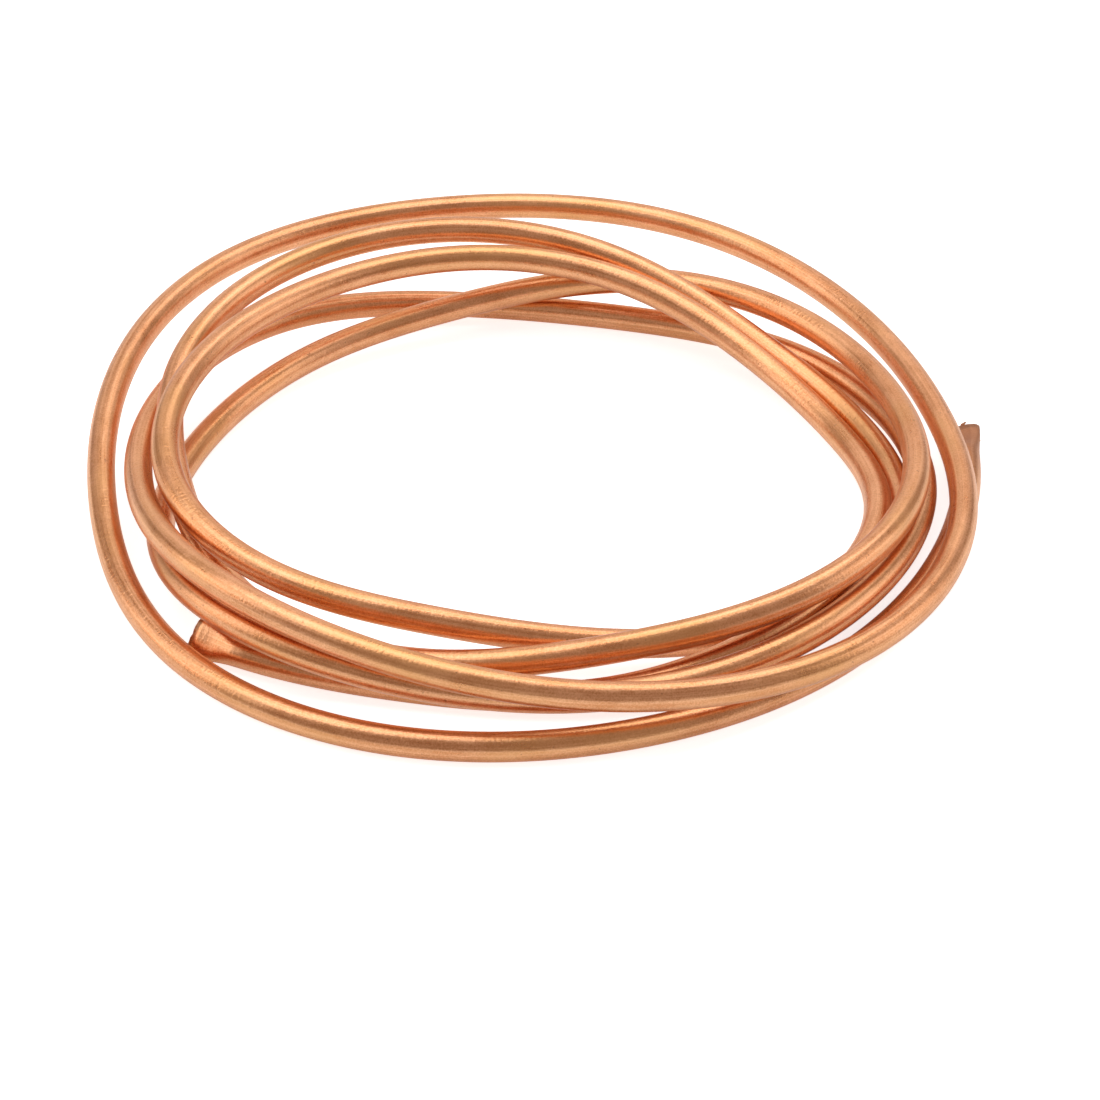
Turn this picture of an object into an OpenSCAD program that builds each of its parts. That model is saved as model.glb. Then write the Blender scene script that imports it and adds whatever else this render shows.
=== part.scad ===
// Loose coil of soft copper tube, lying flat, with both ends pinched shut.
// One continuous tube. Lengths in millimetres; X is right, Y is back, Z is up.

/* [Tube] */
// outside diameter of the tube
tube_od = 6.35; // [6:0.05:7]
// wall thickness of the tube
tube_wall = 0.8; // [0.6:0.05:1]

/* [Coil] */
// mean radius of the turns, at lane 0
coil_radius = 80; // [76:0.5:88]
// spare room between strands that lie against each other
lay_gap = 0.3; // [0.25:0.05:0.5]
// length by which the first end reaches past its first station
first_reach = 2.5; // [0:0.5:4]

/* [Pinched ends] */
// length over which each end goes from round to flat
pinch_length = 12; // [9:0.5:14]
// width of the flattened lip
lip_width = 9; // [8:0.1:9]
// slit left open inside the flattened lip
lip_slit = 0.4; // [0.3:0.05:0.6]
// lean of the first end's lip from upright
first_lean = -40; // [-45:5:-35]
// lean of the last end's lip from upright
last_lean = 75; // [60:5:90]

/* [Hidden] */

copper = [0.85, 0.52, 0.32];

// facets round the tube, rings between two stations and rings in each pinch
sides = 12;
rings_per_station = 4;
pinch_rings = 5;

// The tube is wound counter-clockwise seen from above. It passes one station
// every station_step degrees, from start_clock on (0 is right, 90 is back).
start_clock = 222;
station_step = 30;

// Stations fitted to the photo by a solver and then by hand, one row per turn. A lane is one
// tube's width further out from the mean radius, a level is one tube's width up from the floor.
lanes = [
  2.0,  0.0,  0.6,  0.6,  0.3, -1.1, -1.7, -1.5, -0.7, -0.7, -0.2,  0.6,
 -0.3, -1.8, -2.0, -0.4,  1.2,  0.1, -0.8, -0.5,  0.8,  1.7,  1.0, -0.4,
  0.1, -0.8, -0.5,  1.1,  1.3,  0.8,  0.7,  0.6, -1.2, -0.8, -0.5,  0.6,
  1.9,  1.6,  1.6,  1.6,  1.4,  1.3,  0.5, -0.6,  0.2,  1.5,  1.5,  1.1,
  1.7,  1.8,  2.7,  3.6,  3.0,  2.1,  3.2,  4.9,  5.2,  5.0,  3.1,  2.2,
  3.2,  3.3,  2.5,  2.3,  2.3,  3.4
];
levels = [
  0.1,  0.0,  0.0,  1.0,  1.1,  0.1,  1.0,  2.5,  2.8,  2.9,  3.0,  2.4,
  1.7,  1.4,  0.4,  0.0,  0.0,  0.1,  0.6,  2.6,  3.3,  2.9,  2.2,  1.2,
  0.3,  0.0,  1.3,  2.1,  2.1,  1.6,  1.8,  1.4,  0.8,  0.3,  0.0,  0.0,
  1.5,  1.2,  0.7,  1.0,  1.0,  0.4,  0.3,  0.0,  0.0,  1.0,  1.0,  1.4,
  2.7,  2.2,  1.5,  1.1,  1.1,  1.0,  1.2,  1.7,  1.6,  1.9,  1.5,  0.4,
  0.0,  0.0,  0.0,  0.0,  0.0,  0.2
];
last = len(lanes) - 1;
pitch = tube_od + lay_gap;

// station value k, carried on in a straight line past both ends
function held(v, k) =
    k < 0 ? 2 * v[0] - v[1] :
    k > last ? 2 * v[last] - v[last - 1] : v[k];

// smooth value at station number u (cubic B-spline)
function smooth(v, u) =
    let (k = min(max(floor(u), 0), last - 1))
    let (f = u - k)
    (pow(1 - f, 3) * held(v, k - 1)
    + (3 * pow(f, 3) - 6 * f * f + 4) * held(v, k)
    + (3 * f + 3 * f * f - 3 * pow(f, 3) + 1) * held(v, k + 1)
    + pow(f, 3) * held(v, k + 2)) / 6;

// The rings stand out a little, so that the tube between them lies on its true line.
stand_out = 1 / cos(station_step / rings_per_station / 2);

// middle of the tube at station number u
function middle(u) =
    let (clock = start_clock + station_step * u)
    let (reach = (coil_radius + pitch * smooth(lanes, u)) * stand_out)
    [reach * cos(clock), reach * sin(clock), tube_od / 2 + pitch * smooth(levels, u)];

function unit(v) = v / norm(v);
function heading(u) = unit(middle(min(u + 0.02, last)) - middle(max(u - 0.02, start)));

// station numbers covered by the pinch at the first and last end
function arc(k) = (coil_radius + pitch * lanes[k]) * station_step * PI / 180;
start = -first_reach / arc(0);
first_pinch = pinch_length / arc(0);
last_pinch = pinch_length / arc(last);

// station numbers of all rings, in order
rings = [
    for (i = [0 : pinch_rings - 1]) start + first_pinch * i / pinch_rings,
    for (i = [1 : last * rings_per_station - 1])
        if (i / rings_per_station > start + first_pinch && i / rings_per_station < last - last_pinch)
            i / rings_per_station,
    for (i = [pinch_rings - 1 : -1 : 0]) last - last_pinch * i / pinch_rings
];

// 1 at the lip, falling smoothly to 0 where the tube is round
function eased(t) = let (s = 1 - min(max(t, 0), 1)) s * s * (3 - 2 * s);
function flatness(u) = eased((u - start) / first_pinch) + eased((last - u) / last_pinch);
function lean(u) = u < last / 2 ? first_lean : last_lean;
function blend(a, b, w) = a + (b - a) * w;

// ring of points round the tube at station number u, inset from its outside
function section(u, inset) =
    let (w = flatness(u))
    let (tall = blend(tube_od / 2, lip_width / 2, w) - inset)
    let (thick = blend(tube_od / 2, tube_wall + lip_slit / 2, w) - inset)
    let (ahead = heading(u))
    let (level_side = unit(cross(ahead, [0, 0, 1])))
    let (level_up = cross(level_side, ahead))
    let (side = level_side * cos(lean(u)) - level_up * sin(lean(u)))
    let (up = level_side * sin(lean(u)) + level_up * cos(lean(u)))
    [for (i = [0 : sides - 1])
        let (turn = 90 + i * 360 / sides)
        middle(u) + side * thick * cos(turn) + up * tall * sin(turn)];

ring_count = len(rings);
outside = [for (u = rings) each section(u, 0)];
inside = [for (u = rings) each section(u, tube_wall)];
points = concat(outside, inside);
inner = len(outside);

function at(ring, i) = ring * sides + i % sides;
end_ring = ring_count - 1;
faces = [
    for (r = [0 : ring_count - 2], i = [0 : sides - 1])
        each [[at(r, i), at(r + 1, i), at(r + 1, i + 1)],
              [at(r, i), at(r + 1, i + 1), at(r, i + 1)]],
    for (r = [0 : ring_count - 2], i = [0 : sides - 1])
        each [[inner + at(r, i), inner + at(r + 1, i + 1), inner + at(r + 1, i)],
              [inner + at(r, i), inner + at(r, i + 1), inner + at(r + 1, i + 1)]],
    for (i = [0 : sides - 1])
        each [[at(0, i), at(0, i + 1), inner + at(0, i + 1)],
              [at(0, i), inner + at(0, i + 1), inner + at(0, i)]],
    for (i = [0 : sides - 1])
        each [[at(end_ring, i), inner + at(end_ring, i + 1), at(end_ring, i + 1)],
              [at(end_ring, i), inner + at(end_ring, i), inner + at(end_ring, i + 1)]]
];

// middle of the coil's footprint and its lowest point
xs = [for (p = outside) p[0]];
ys = [for (p = outside) p[1]];
zs = [for (p = outside) p[2]];
foot = [(min(xs) + max(xs)) / 2, (min(ys) + max(ys)) / 2, min(zs)];

module copper_tube() {
    color(copper)
    translate(-foot)
    polyhedron(points = points, faces = faces, convexity = 12);
}

copper_tube();
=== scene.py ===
"""Loose coil of bare soft copper tube, lying flat, both ends pinched shut. Lengths in metres."""
from math import cos, pi, radians, sin

import bmesh
import bpy
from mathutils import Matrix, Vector


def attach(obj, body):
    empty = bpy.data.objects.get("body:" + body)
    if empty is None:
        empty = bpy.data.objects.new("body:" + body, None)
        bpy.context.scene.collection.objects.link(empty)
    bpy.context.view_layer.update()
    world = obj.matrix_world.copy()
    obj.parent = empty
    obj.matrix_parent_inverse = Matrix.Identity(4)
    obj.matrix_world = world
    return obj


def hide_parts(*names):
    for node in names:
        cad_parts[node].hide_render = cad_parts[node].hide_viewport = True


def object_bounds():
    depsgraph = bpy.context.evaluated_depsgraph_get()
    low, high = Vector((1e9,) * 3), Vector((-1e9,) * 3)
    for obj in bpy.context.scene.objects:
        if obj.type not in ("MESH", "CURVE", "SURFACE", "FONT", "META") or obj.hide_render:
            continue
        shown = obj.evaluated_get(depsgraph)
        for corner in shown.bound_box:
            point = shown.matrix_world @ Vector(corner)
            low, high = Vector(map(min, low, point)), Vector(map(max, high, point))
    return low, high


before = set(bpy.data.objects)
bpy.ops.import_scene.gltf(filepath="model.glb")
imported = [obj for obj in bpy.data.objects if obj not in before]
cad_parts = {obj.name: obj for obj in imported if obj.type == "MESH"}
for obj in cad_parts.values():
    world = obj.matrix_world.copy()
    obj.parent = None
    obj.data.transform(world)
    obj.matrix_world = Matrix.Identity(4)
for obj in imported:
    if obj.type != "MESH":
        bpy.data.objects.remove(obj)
cad_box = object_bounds()

# Tube and pinched ends, as in the part
TUBE_OD = 0.00635
TUBE_WALL = 0.0008
COIL_RADIUS = 0.080
LAY_GAP = 0.0003
FIRST_REACH = 0.0025
PINCH_LENGTH = 0.012
LIP_WIDTH = 0.009
LIP_SLIT = 0.0004
FIRST_LEAN = radians(-40)
LAST_LEAN = radians(75)

# Route of the tube, as in the part: one station every 30 degrees, one row per turn
START_CLOCK = 222
STATION_STEP = 30
PITCH = TUBE_OD + LAY_GAP
LANES = [
    2.0, 0.0, 0.6, 0.6, 0.3, -1.1, -1.7, -1.5, -0.7, -0.7, -0.2, 0.6,
    -0.3, -1.8, -2.0, -0.4, 1.2, 0.1, -0.8, -0.5, 0.8, 1.7, 1.0, -0.4,
    0.1, -0.8, -0.5, 1.1, 1.3, 0.8, 0.7, 0.6, -1.2, -0.8, -0.5, 0.6,
    1.9, 1.6, 1.6, 1.6, 1.4, 1.3, 0.5, -0.6, 0.2, 1.5, 1.5, 1.1,
    1.7, 1.8, 2.7, 3.6, 3.0, 2.1, 3.2, 4.9, 5.2, 5.0, 3.1, 2.2,
    3.2, 3.3, 2.5, 2.3, 2.3, 3.4,
]
LEVELS = [
    0.1, 0.0, 0.0, 1.0, 1.1, 0.1, 1.0, 2.5, 2.8, 2.9, 3.0, 2.4,
    1.7, 1.4, 0.4, 0.0, 0.0, 0.1, 0.6, 2.6, 3.3, 2.9, 2.2, 1.2,
    0.3, 0.0, 1.3, 2.1, 2.1, 1.6, 1.8, 1.4, 0.8, 0.3, 0.0, 0.0,
    1.5, 1.2, 0.7, 1.0, 1.0, 0.4, 0.3, 0.0, 0.0, 1.0, 1.0, 1.4,
    2.7, 2.2, 1.5, 1.1, 1.1, 1.0, 1.2, 1.7, 1.6, 1.9, 1.5, 0.4,
    0.0, 0.0, 0.0, 0.0, 0.0, 0.2,
]
LAST = len(LANES) - 1
START = -FIRST_REACH / ((COIL_RADIUS + PITCH * LANES[0]) * radians(STATION_STEP))

# Steps of the mesh along and round the tube, and the part of a station that gives an end's heading
STEPS_PER_STATION = 24
SIDES = 32
HEADING_STEP = 0.02

# Fine shape of the ends: dimple behind each lip, depth and widening of the slit, and the cut
# edge's round corners and ragged line (size, rate and shift of its waves)
DIMPLE = 1.6
SLIT_DEPTH = 0.006
SLIT_FLARE = 1.2
LIP_ROUND = 0.0009
LIP_RAGGED = 0.0004
RAGGED_WAVES = ((0.3, 5.0, 0.7), (0.2, 13.0, 0.0))

# Burr on the last lip: place of its root, flatness, and its reach, curl, lift and half width
# at the root, middle and tip
BURR_ASIDE = 0.0004
BURR_SUNK = 0.0006
BURR_FLATNESS = 0.7
BURR_RINGS = (
    (0.0, 0.0, 0.0006, 0.00040),
    (0.0008, 0.0004, 0.0008, 0.00038),
    (0.0011, 0.0011, 0.0010, 0.00022),
)

# Patterns on the copper: rate per metre along the tube and round it, detail and roughness
DRAW_LINES = (14, 1900, 3.0, 0.5)
CHATTER = (1700, 600, 2.0, 0.5)
MOTTLE = (90, 220, 5.0, 0.65)
TARNISH = (26, 60, 3.0, 0.5)
GRAIN = (2600, 2600, 2.0, 0.5)
SPECKS = (900, 1100, 1.0, 0.5)

# Colours of the copper: the two tones with their places on the ramp, tarnish and wear
TONES = (
    (0.36, (0.69, 0.30, 0.13, 1)),
    (0.64, (0.97, 0.52, 0.28, 1)),
)
GOLDEN = (0.80, 0.43, 0.17, 1)
WORN = (0.40, 0.18, 0.10, 1)
# stretch over which the last end's dull look fades
DULL_START = 0.004
DULL_STOP = 0.030
RELIEF_STRENGTH = 0.6
RELIEF_DEPTH = 0.0002

# Surroundings. A strength is given as seen straight, as seen in the copper, and as light
FLOOR_HALF_WIDTH = 3.0
FLOOR_COLOUR = (0.92, 0.92, 0.92, 1)
FLOOR_STRENGTH = (0.75, 0.25, 0.0)
WORLD_STRENGTH = (1.0, 0.38, 0.34)
WHITE = (1, 1, 1, 1)
WARM = (1.0, 0.80, 0.70, 1)
# name, place, aim, width, depth and watts of each soft light
LIGHTS = (
    ("top", (-0.1, 0.25, 0.9), (0.0, 0.05, 0.0), 1.5, 0.7, 5.3),
    ("back", (0.0, 1.3, 0.55), (0.0, 0.0, 0.1), 2.0, 0.8, 2.6),
    ("left", (-1.2, 0.1, 0.5), (0.0, 0.0, 0.0), 0.8, 0.9, 2.8),
    ("right", (1.2, 0.1, 0.5), (0.0, 0.0, 0.0), 0.8, 0.9, 2.3),
)

# Camera, from the coil's own middle; lens and sensor in millimetres
ELEVATION = radians(34)
DISTANCE = 0.750
LENS = 107.7
SENSOR = 36
AIM_HEIGHT = 0.00665
# the coil sits off the picture's middle, by pixels of the photo over its focal length in pixels
FOCAL_PIXELS = 3290
AIM_RIGHT = -20 / FOCAL_PIXELS
AIM_UP = 80 / FOCAL_PIXELS


def held(values, k):
    """Station value k, carried on in a straight line past both ends."""
    if k < 0:
        return 2 * values[0] - values[1]
    if k > LAST:
        return 2 * values[LAST] - values[LAST - 1]
    return values[k]


def smooth(values, u):
    """Smooth value at station number u, by a cubic B-spline."""
    k = min(max(int(u), 0), LAST - 1)
    f = u - k
    before = (1 - f) ** 3 * held(values, k - 1)
    here = (3 * f ** 3 - 6 * f * f + 4) * held(values, k)
    after = (3 * f + 3 * f * f - 3 * f ** 3 + 1) * held(values, k + 1)
    beyond = f ** 3 * held(values, k + 2)
    return (before + here + after + beyond) / 6


def middle(u):
    """Middle of the tube at station number u, from the coil's own middle."""
    clock = radians(START_CLOCK + STATION_STEP * u)
    reach = COIL_RADIUS + PITCH * smooth(LANES, u)
    height = TUBE_OD / 2 + PITCH * smooth(LEVELS, u)
    return Vector((reach * cos(clock), reach * sin(clock), height))


def route_curve():
    """The tube's middle line as a curve object."""
    count = LAST * STEPS_PER_STATION + 1
    data = bpy.data.curves.new("route", "CURVE")
    data.dimensions = "3D"
    data.twist_mode = "Z_UP"
    spline = data.splines.new("POLY")
    spline.points.add(count - 1)
    for i in range(count):
        spline.points[i].co = (*middle(START + (LAST - START) * i / (count - 1)), 1)
    route = bpy.data.objects.new("route", data)
    bpy.context.scene.collection.objects.link(route)
    return route


class Nodes:
    """Short calls for a node tree."""

    def __init__(self, tree):
        self.tree = tree

    def add(self, kind, **settings):
        node = self.tree.nodes.new(kind)
        for name, value in settings.items():
            setattr(node, name, value)
        return node

    def put(self, source, socket):
        """Links a socket, or sets a plain value."""
        if isinstance(source, bpy.types.NodeSocket):
            self.tree.links.new(source, socket)
        else:
            socket.default_value = source

    def math(self, operation, *values):
        node = self.add("ShaderNodeMath", operation=operation)
        for i, value in enumerate(values):
            self.put(value, node.inputs[i])
        return node.outputs[0]

    def vector(self, operation, *values):
        node = self.add("ShaderNodeVectorMath", operation=operation)
        for i, value in enumerate(values):
            scaled = operation == "SCALE" and i == 1
            self.put(value, node.inputs["Scale" if scaled else i])
        return node.outputs["Value" if operation == "DOT_PRODUCT" else "Vector"]

    def ranged(self, value, low, high, to_low=0.0, to_high=1.0):
        """Eases from to_low to to_high while the value goes from low to high."""
        node = self.add("ShaderNodeMapRange", interpolation_type="SMOOTHSTEP")
        for i, item in enumerate((value, low, high, to_low, to_high)):
            self.put(item, node.inputs[i])
        return node.outputs[0]

    def mixed(self, factor, a, b):
        """a at factor 0 and b at factor 1."""
        return self.math("MULTIPLY_ADD", self.math("SUBTRACT", b, a), factor, a)

    def mixed_colour(self, factor, a, b):
        """Colour a at factor 0 and colour b at factor 1, by the Mix node's colour sockets."""
        node = self.add("ShaderNodeMix", data_type="RGBA")
        self.put(factor, node.inputs["Factor"])
        self.put(a, node.inputs[6])
        self.put(b, node.inputs[7])
        return node.outputs[2]

    def blended(self, *parts):
        """Sum of values, each times its weight."""
        total = self.math("MULTIPLY", *parts[0])
        for value, weight in parts[1:]:
            total = self.math("MULTIPLY_ADD", value, weight, total)
        return total

    def noise(self, coords, detail, roughness):
        node = self.add("ShaderNodeTexNoise")
        wanted = {"Vector": coords, "Scale": 1.0, "Detail": detail, "Roughness": roughness}
        for name, value in wanted.items():
            self.put(value, node.inputs[name])
        return node.outputs[0]


def tube_nodes(material, sizes):
    """Node group that sweeps the tube along a curve and pinches both its ends, with the sizes as inputs."""
    group = bpy.data.node_groups.new("pinched_tube", "GeometryNodeTree")
    face = group.interface
    face.new_socket("Geometry", in_out="INPUT", socket_type="NodeSocketGeometry")
    for name in sizes:
        face.new_socket(name, in_out="INPUT", socket_type="NodeSocketFloat")
    face.new_socket("Geometry", in_out="OUTPUT", socket_type="NodeSocketGeometry")
    n = Nodes(group)
    given = n.add("NodeGroupInput").outputs
    radius = given["Radius"]

    # what each point of the route knows, carried over to its ring of the tube
    keep = n.add("GeometryNodeCaptureAttribute", domain="POINT")
    kinds = {"Centre": "VECTOR", "Ahead": "VECTOR", "Side": "VECTOR", "Run": "FLOAT", "Whole": "FLOAT"}
    for name, kind in kinds.items():
        keep.capture_items.new(kind, name)
    n.put(given["Geometry"], keep.inputs["Geometry"])
    n.put(n.add("GeometryNodeInputPosition").outputs[0], keep.inputs["Centre"])
    n.put(n.add("GeometryNodeInputTangent").outputs[0], keep.inputs["Ahead"])
    n.put(n.add("GeometryNodeInputNormal").outputs[0], keep.inputs["Side"])
    n.put(n.add("GeometryNodeSplineParameter").outputs["Length"], keep.inputs["Run"])
    n.put(n.add("GeometryNodeSplineLength").outputs["Length"], keep.inputs["Whole"])
    kept = keep.outputs
    side = kept["Side"]

    ring = n.add("GeometryNodeCurvePrimitiveCircle", mode="RADIUS")
    n.put(SIDES, ring.inputs["Resolution"])
    n.put(radius, ring.inputs["Radius"])
    sweep = n.add("GeometryNodeCurveToMesh")
    n.put(kept["Geometry"], sweep.inputs["Curve"])
    n.put(ring.outputs["Curve"], sweep.inputs["Profile Curve"])

    # weight of the pinch, and which end is the nearer one
    to_end = n.math("SUBTRACT", kept["Whole"], kept["Run"])
    nearer = n.math("MINIMUM", kept["Run"], to_end)
    at_last = n.math("LESS_THAN", to_end, kept["Run"])
    flat = n.ranged(nearer, 0.0, given["Pinch Length"], 1.0, 0.0)
    lean = n.mixed(at_last, given["First Lean"], given["Last Lean"])

    # the section's own two directions, turned by the lean
    up = n.vector("CROSS_PRODUCT", side, kept["Ahead"])
    lean_cos = n.math("COSINE", lean)
    lean_sin = n.math("SINE", lean)
    across = n.vector("SUBTRACT", n.vector("SCALE", side, lean_cos), n.vector("SCALE", up, lean_sin))
    tall = n.vector("ADD", n.vector("SCALE", side, lean_sin), n.vector("SCALE", up, lean_cos))

    # squeeze the section between its faces, more in its middle than at its edges
    offset = n.vector("SUBTRACT", n.add("GeometryNodeInputPosition").outputs[0], kept["Centre"])
    part_across = n.vector("DOT_PRODUCT", offset, across)
    part_tall = n.vector("DOT_PRODUCT", offset, tall)
    share = n.math("DIVIDE", part_tall, radius)
    hollow = n.math("SUBTRACT", 1.0, n.math("MULTIPLY", share, share))
    dent = n.math("MULTIPLY", n.math("MULTIPLY", flat, n.math("SUBTRACT", 1.0, flat)), hollow)
    thick = n.mixed(flat, 1.0, n.math("DIVIDE", given["Lip Half Thickness"], radius))
    thick = n.math("MULTIPLY", thick, n.math("SUBTRACT", 1.0, n.math("MULTIPLY", dent, DIMPLE)))
    wide = n.mixed(flat, 1.0, n.math("DIVIDE", given["Lip Half Width"], radius))
    new_across = n.vector("SCALE", across, n.math("MULTIPLY", part_across, thick))
    new_tall = n.vector("SCALE", tall, n.math("MULTIPLY", part_tall, wide))
    place = n.vector("ADD", kept["Centre"], n.vector("ADD", new_across, new_tall))

    # coordinates on the tube's skin, for the finish: run along it, then round it
    skin = n.add("ShaderNodeCombineXYZ")
    n.put(kept["Run"], skin.inputs[0])
    n.put(part_across, skin.inputs[1])
    n.put(part_tall, skin.inputs[2])
    save = n.add("GeometryNodeStoreNamedAttribute", data_type="FLOAT_VECTOR", domain="POINT")
    n.put("skin", save.inputs["Name"])
    n.put(sweep.outputs["Mesh"], save.inputs["Geometry"])
    n.put(skin.outputs[0], save.inputs["Value"])
    save_end = n.add("GeometryNodeStoreNamedAttribute", data_type="FLOAT", domain="POINT")
    n.put("from_last", save_end.inputs["Name"])
    n.put(save.outputs["Geometry"], save_end.inputs["Geometry"])
    n.put(to_end, save_end.inputs["Value"])

    move = n.add("GeometryNodeSetPosition")
    n.put(save_end.outputs["Geometry"], move.inputs["Geometry"])
    n.put(place, move.inputs["Position"])
    plain = n.add("GeometryNodeRealizeInstances")
    n.put(move.outputs["Geometry"], plain.inputs["Geometry"])
    coat = n.add("GeometryNodeSetMaterial")
    n.put(plain.outputs["Geometry"], coat.inputs["Geometry"])
    n.put(material, coat.inputs["Material"])
    n.put(coat.outputs["Geometry"], n.add("NodeGroupOutput").inputs["Geometry"])
    return group


def swept_tube(route, material):
    """The swept and pinched tube as a plain mesh object."""
    sizes = {
        "Radius": TUBE_OD / 2,
        "Pinch Length": PINCH_LENGTH,
        "Lip Half Width": LIP_WIDTH / 2,
        "Lip Half Thickness": TUBE_WALL + LIP_SLIT / 2,
        "First Lean": FIRST_LEAN,
        "Last Lean": LAST_LEAN,
    }
    group = tube_nodes(material, sizes)
    modifier = route.modifiers.new("tube", "NODES")
    modifier.node_group = group
    for item in group.interface.items_tree:
        if item.in_out == "INPUT" and item.name in sizes:
            modifier[item.identifier] = sizes[item.name]
    seen = route.evaluated_get(bpy.context.evaluated_depsgraph_get())
    mesh = bpy.data.meshes.new_from_object(seen)
    mesh.name = "copper_tube_visual"
    tube = bpy.data.objects.new("copper_tube_visual", mesh)
    bpy.context.scene.collection.objects.link(tube)
    bpy.data.objects.remove(route)
    return tube


def set_back(share):
    """How far a lip's cut edge is set back, at a share of its half width."""
    ragged = 0.5 + sum(size * sin(rate * share + shift) for size, rate, shift in RAGGED_WAVES)
    return LIP_ROUND * share ** 4 + LIP_RAGGED * ragged


def verts_of(edges):
    """The vertices of some edges, each one once."""
    return {v for e in edges for v in e.verts}


def line_lips(mesh):
    """Turns each open end in, to a rim as thick as the wall and a slit. Leaves a burr on the last."""
    work = bmesh.new()
    work.from_mesh(mesh)
    half_width = LIP_WIDTH / 2
    half_thickness = TUBE_WALL + LIP_SLIT / 2
    rim = (1 - TUBE_WALL / half_width, LIP_SLIT / 2 / half_thickness, 0.0)
    inside = (1.0, SLIT_FLARE, SLIT_DEPTH)
    for u, inward, lean in ((START, 1, FIRST_LEAN), (LAST, -1, LAST_LEAN)):
        end = middle(u)
        ahead = (middle(u + inward * HEADING_STEP) - end).normalized()
        side = ahead.cross(Vector((0, 0, 1))).normalized() * inward
        up = side.cross(ahead * inward)
        across = side * cos(lean) - up * sin(lean)
        tall = side * sin(lean) + up * cos(lean)
        loop = [e for e in work.edges if e.is_boundary and (e.verts[0].co - end).length < LIP_WIDTH]
        for v in verts_of(loop):
            v.co += ahead * set_back((v.co - end).dot(tall) / half_width)
        for wide, thick, push in (rim, inside):
            made = bmesh.ops.extrude_edge_only(work, edges=loop)["geom"]
            loop = [g for g in made if isinstance(g, bmesh.types.BMEdge)]
            for v in verts_of(loop):
                off = v.co - end
                kept = across * off.dot(across) * thick + tall * off.dot(tall) * wide
                v.co = end + kept + ahead * (off.dot(ahead) + push)
        bmesh.ops.edgeloop_fill(work, edges=[e for e in loop if e.is_boundary])
        if u == LAST:
            inner = -tall if end.dot(tall) > 0 else tall
            burr(work, end, -ahead, across, inner)
    bmesh.ops.recalc_face_normals(work, faces=work.faces)
    work.to_mesh(mesh)
    work.free()
    for polygon in mesh.polygons:
        polygon.use_smooth = True


def burr(work, end, out, across, inner):
    """A small torn curl of copper on the middle of the last lip's cut edge."""
    root = end - inner * BURR_ASIDE - out * BURR_SUNK
    corners = ((1, 1), (-1, 1), (-1, -1), (1, -1))
    rings = []
    for reach, curl, lift, half in BURR_RINGS:
        spot = root + out * reach - inner * curl - across * lift
        ring = [spot + inner * half * a + across * BURR_FLATNESS * half * b for a, b in corners]
        rings.append([work.verts.new(place) for place in ring])
    for near, far in zip(rings, rings[1:]):
        for i in range(len(corners)):
            work.faces.new((near[i], near[i - 1], far[i - 1], far[i]))
    work.faces.new(rings[0])
    work.faces.new(rings[-1])


def copper():
    """Bare bright copper: draw lines, fine chatter, soft mottling, golden tarnish and small specks."""
    material = bpy.data.materials.new("copper")
    material.use_nodes = True
    n = Nodes(material.node_tree)
    shader = n.tree.nodes["Principled BSDF"]
    skin = n.add("ShaderNodeAttribute", attribute_name="skin").outputs["Vector"]
    from_last = n.add("ShaderNodeAttribute", attribute_name="from_last").outputs["Fac"]

    def pattern(along, around, detail, roughness):
        return n.noise(n.vector("MULTIPLY", skin, (along, around, around)), detail, roughness)

    lines = pattern(*DRAW_LINES)
    chatter = pattern(*CHATTER)
    mottle = pattern(*MOTTLE)
    grain = pattern(*GRAIN)
    tarnish = n.ranged(pattern(*TARNISH), 0.45, 0.70, 0.0, 0.55)
    specks = n.ranged(pattern(*SPECKS), 0.72, 0.78, 0.0, 0.5)
    dull = n.ranged(from_last, DULL_START, DULL_STOP, 0.75, 0.0)
    wear = n.math("MAXIMUM", specks, dull)

    tone = n.add("ShaderNodeValToRGB")
    for element, (position, colour) in zip(tone.color_ramp.elements, TONES):
        element.position = position
        element.color = colour
    shade = n.blended((mottle, 0.5), (lines, 0.6), (grain, 0.5))
    n.put(n.math("SUBTRACT", shade, 0.3), tone.inputs[0])
    colour = n.mixed_colour(tarnish, tone.outputs["Color"], GOLDEN)
    n.put(n.mixed_colour(wear, colour, WORN), shader.inputs["Base Color"])
    n.put(1.0, shader.inputs["Metallic"])
    rough = n.blended((mottle, 0.24), (lines, 0.12), (wear, 0.2))
    n.put(n.math("ADD", rough, 0.13), shader.inputs["Roughness"])

    relief = n.add("ShaderNodeBump")
    n.put(RELIEF_STRENGTH, relief.inputs["Strength"])
    n.put(RELIEF_DEPTH, relief.inputs["Distance"])
    n.put(n.blended((lines, 0.25), (chatter, 0.6), (grain, 0.3)), relief.inputs["Height"])
    n.put(relief.outputs["Normal"], shader.inputs["Normal"])
    return material


def shown(n, straight, mirrored, falling):
    """A strength as the camera sees it straight, as it sees it in the copper, and as light."""
    path = n.add("ShaderNodeLightPath").outputs
    direct = n.math("MAXIMUM", path["Is Camera Ray"], path["Is Transmission Ray"])
    return n.mixed(direct, n.mixed(path["Is Glossy Ray"], falling, mirrored), straight)


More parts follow.
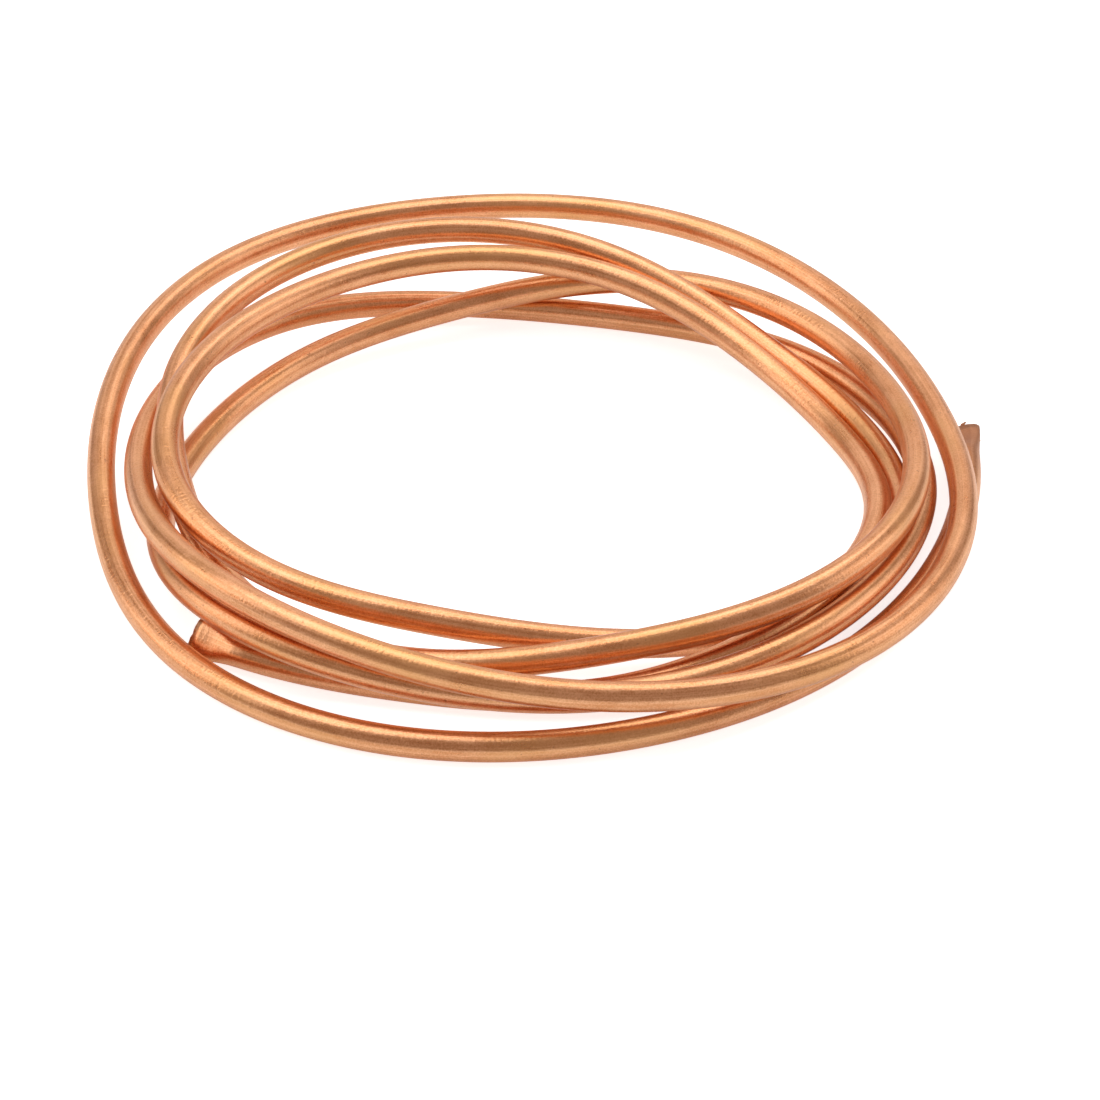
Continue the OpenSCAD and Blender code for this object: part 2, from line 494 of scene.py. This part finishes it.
def white_floor():
    """A plain white floor that keeps a faint shadow."""
    work = bmesh.new()
    bmesh.ops.create_grid(work, x_segments=1, y_segments=1, size=FLOOR_HALF_WIDTH)
    mesh = bpy.data.meshes.new("floor")
    work.to_mesh(mesh)
    work.free()
    floor = bpy.data.objects.new("floor", mesh)
    bpy.context.scene.collection.objects.link(floor)
    material = bpy.data.materials.new("floor")
    material.use_nodes = True
    n = Nodes(material.node_tree)
    shader = n.tree.nodes["Principled BSDF"]
    n.put(FLOOR_COLOUR, shader.inputs["Base Color"])
    n.put(0.9, shader.inputs["Roughness"])
    n.put(0.0, shader.inputs["Specular IOR Level"])
    n.put(WHITE, shader.inputs["Emission Color"])
    n.put(shown(n, *FLOOR_STRENGTH), shader.inputs["Emission Strength"])
    mesh.materials.append(material)


def world_light():
    """White where the camera sees it, a soft grey where it lights the object, warm in the copper."""
    world = bpy.data.worlds.new("studio")
    bpy.context.scene.world = world
    world.use_nodes = True
    n = Nodes(world.node_tree)
    ground = n.tree.nodes["Background"]
    n.put(shown(n, *WORLD_STRENGTH), ground.inputs["Strength"])
    mirrored = n.add("ShaderNodeLightPath").outputs["Is Glossy Ray"]
    n.put(n.mixed_colour(mirrored, WHITE, WARM), ground.inputs["Color"])


def soft_light(name, place, aim, width, depth, watts):
    """A rectangular soft light at a place, turned to a point."""
    data = bpy.data.lights.new(name, "AREA")
    data.shape = "RECTANGLE"
    data.size = width
    data.size_y = depth
    data.energy = watts
    light = bpy.data.objects.new(name, data)
    light.location = place
    light.rotation_euler = (Vector(aim) - Vector(place)).to_track_quat("-Z", "Y").to_euler()
    bpy.context.scene.collection.objects.link(light)


def set_camera(coil_middle):
    """The photograph's camera, in front of the coil and above it."""
    ahead = Vector((0, cos(ELEVATION), -sin(ELEVATION)))
    up = Vector((0, sin(ELEVATION), cos(ELEVATION)))
    right = Vector((1, 0, 0))
    target = coil_middle + Vector((0, 0, AIM_HEIGHT))
    data = bpy.data.cameras.new("camera")
    data.lens = LENS
    data.sensor_width = SENSOR
    data.clip_start = 0.01
    camera = bpy.data.objects.new("camera", data)
    camera.location = target - DISTANCE * (ahead + AIM_RIGHT * right + AIM_UP * up)
    camera.rotation_euler = (pi / 2 - ELEVATION, 0, 0)
    bpy.context.scene.collection.objects.link(camera)
    bpy.context.scene.camera = camera


# The tube, brought from the coil's own middle to the frame's, no taller than the solid
tube = swept_tube(route_curve(), copper())
line_lips(tube.data)
corners = [Vector(c) for c in tube.bound_box]
low = Vector([min(c[i] for c in corners) for i in range(3)])
high = Vector([max(c[i] for c in corners) for i in range(3)])
foot = Vector(((low.x + high.x) / 2, (low.y + high.y) / 2, low.z))
squash = min(1.0, (cad_box[1][2] - cad_box[0][2]) / (high.z - low.z))
for vertex in tube.data.vertices:
    vertex.co -= foot
    vertex.co.z *= squash
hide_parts("copper_tube")
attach(tube, "root")

white_floor()
world_light()
for light in LIGHTS:
    soft_light(*light)
set_camera(-Vector((foot.x, foot.y, 0)))
bpy.context.scene.view_settings.view_transform = "Standard"
